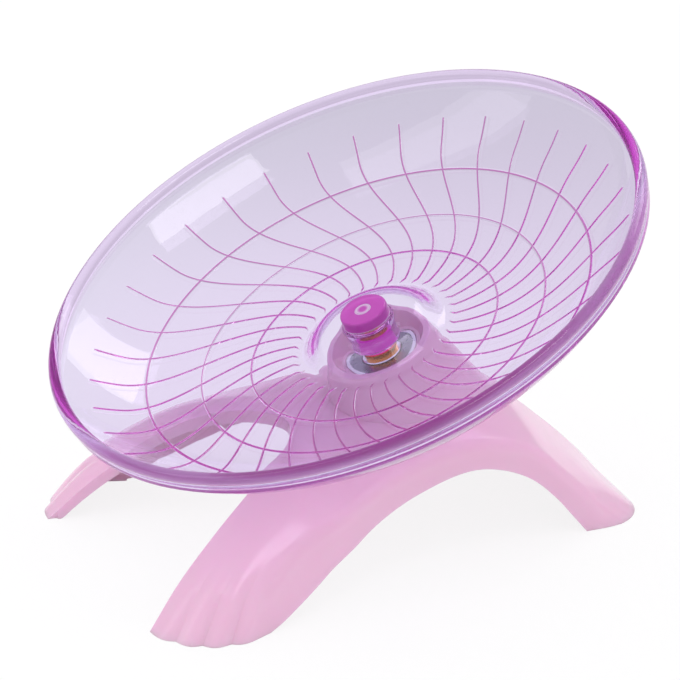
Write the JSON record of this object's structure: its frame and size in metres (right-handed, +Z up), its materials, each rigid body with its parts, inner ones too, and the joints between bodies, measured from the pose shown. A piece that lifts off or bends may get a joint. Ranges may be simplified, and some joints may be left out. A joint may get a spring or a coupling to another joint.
{
  "type": "rodent exercise wheel",
  "caption": "Tilted clear running saucer for a hamster or mouse, with swept grip ribs, spinning on a ball bearing in the boss of a moulded three-legged stand.",
  "frame": {"origin": "on the ground, below the middle of the whole wheel's bounding box", "axes": "+Z up; +X across the wheel, the way both front feet are set apart; -Y towards the low front of the saucer and the arch between the front feet"},
  "size_m": [0.18, 0.1686, 0.1148],
  "materials": {
    "clear_lilac": "clear lilac moulded polystyrene, polished",
    "magenta_plastic": "moulded, satin gloss",
    "brass": "turned brass",
    "zinc_steel": "zinc plated",
    "bearing_steel": "ground bearing steel",
    "shield_steel": "pressed sheet steel",
    "pink_plastic": "moulded pink plastic, high gloss"
  },
  "bodies": {
    "stand": {"stand_shell": "pink_plastic", "bearing_outer_ring": "bearing_steel", "upper_shield": "shield_steel", "lower_shield": "shield_steel"},
    "saucer": {"running_dish": "clear_lilac", "pin_bush": "magenta_plastic", "axle_pin": "brass", "axle_washer": "zinc_steel", "axle_screw": "zinc_steel", "bearing_inner_ring": "bearing_steel"},
    "ball_cage": {"cage_upper": "shield_steel", "cage_lower": "shield_steel", "cage_rivets": "shield_steel", "ball_1": "bearing_steel", "ball_2": "bearing_steel", "ball_3": "bearing_steel", "ball_4": "bearing_steel", "ball_5": "bearing_steel", "ball_6": "bearing_steel", "ball_7": "bearing_steel"}
  },
  "joints": [
    {"name": "saucer_spin", "type": "hinge", "parent": "stand", "child": "saucer", "pos_m": [0, -0.0008, 0.0797], "axis": [0, -0.3778, 0.9259], "continuous": true},
    {"name": "cage_orbit", "type": "hinge", "parent": "stand", "child": "ball_cage", "pos_m": [0, -0.0008, 0.0797], "axis": [0, -0.3778, 0.9259], "continuous": true}
  ],
  "couplings": [
    {"joint": "cage_orbit", "follows": "saucer_spin", "ratio": 0.36767}
  ]
}
